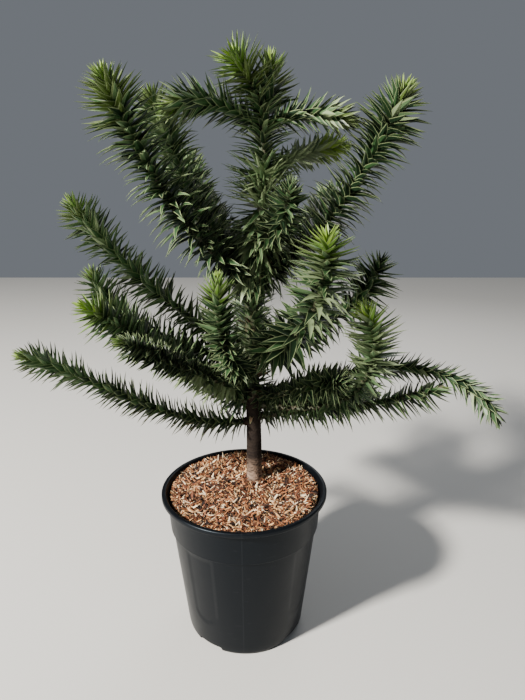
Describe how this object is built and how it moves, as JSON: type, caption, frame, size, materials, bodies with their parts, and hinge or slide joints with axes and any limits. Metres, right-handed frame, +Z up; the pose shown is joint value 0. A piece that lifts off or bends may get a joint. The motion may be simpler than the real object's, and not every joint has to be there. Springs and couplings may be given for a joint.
{
  "type": "potted monkey puzzle sapling",
  "caption": "Young monkey puzzle tree with tiers of long upswept shoots set all round with stiff pointed leaves, in a round nursery pot topped with bark mulch.",
  "frame": {"origin": "centre of the pot's underside, on the ground", "axes": "+Z up, -Y towards the side that the picture shows, +X to the right of that view"},
  "size_m": [0.7534, 0.4113, 0.9187],
  "materials": {
    "pot_plastic": "satin black, dusty",
    "compost": "rough",
    "mulch": "rough bark chips",
    "bark": "ringed rough bark",
    "foliage": "waxy dark green leaf"
  },
  "bodies": {
    "root": {"bark_mulch": "mulch", "bough_high_back_left": "bark", "bough_high_back_right": "bark", "bough_high_left": "bark", "bough_high_left_front": "bark", "bough_high_right": "bark", "bough_low_back_left": "bark", "bough_low_back_right": "bark", "bough_low_front": "bark", "bough_low_front_left": "bark", "bough_low_left": "bark", "bough_low_left_front": "bark", "bough_low_right": "bark", "bough_low_right_front": "bark", "bough_low_right_long": "bark", "bough_middle_back": "bark", "bough_middle_front": "bark", "bough_middle_left": "bark", "bough_middle_left_long": "bark", "bough_middle_right": "bark", "bough_middle_right_front": "bark", "compost": "compost", "foliage_high_back_left": "foliage", "foliage_high_back_right": "foliage", "foliage_high_left": "foliage", "foliage_high_left_front": "foliage", "foliage_high_right": "foliage", "foliage_low_back_left": "foliage", "foliage_low_back_right": "foliage", "foliage_low_front": "foliage", "foliage_low_front_left": "foliage", "foliage_low_left": "foliage", "foliage_low_left_front": "foliage", "foliage_low_right": "foliage", "foliage_low_right_front": "foliage", "foliage_low_right_long": "foliage", "foliage_middle_back": "foliage", "foliage_middle_front": "foliage", "foliage_middle_left": "foliage", "foliage_middle_left_long": "foliage", "foliage_middle_right": "foliage", "foliage_middle_right_front": "foliage", "foliage_top_back": "foliage", "foliage_top_left": "foliage", "foliage_top_right": "foliage", "foliage_trunk_foot": "foliage", "foliage_trunk_leader": "foliage", "foliage_trunk_lower": "foliage", "foliage_trunk_upper": "foliage", "foliage_upper_back_right": "foliage", "foliage_upper_front_right": "foliage", "pot": "pot_plastic", "trunk": "bark"}
  },
  "joints": []
}
